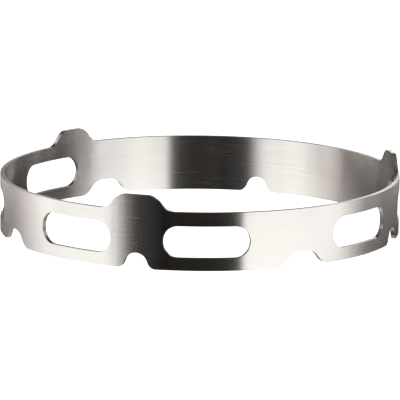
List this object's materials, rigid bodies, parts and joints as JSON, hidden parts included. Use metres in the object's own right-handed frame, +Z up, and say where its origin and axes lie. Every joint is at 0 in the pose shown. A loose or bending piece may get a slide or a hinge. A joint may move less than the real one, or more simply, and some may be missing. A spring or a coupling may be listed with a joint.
{
  "type": "wok riser",
  "caption": "Rolled stainless steel hoop that lifts a wok over a gas burner, with raised tabs, long air slots and notches for the pan support.",
  "frame": {"origin": "centre of the hoop in the plane of its plain lower edge", "axes": "+Z up along the hoop's axis, towards the tabs; -Y through the broad front tab; +X to the right"},
  "size_m": [0.24, 0.24, 0.0431],
  "materials": {
    "steel": "brushed along the strip"
  },
  "bodies": {
    "root": {"riser_ring": "steel"}
  },
  "joints": []
}
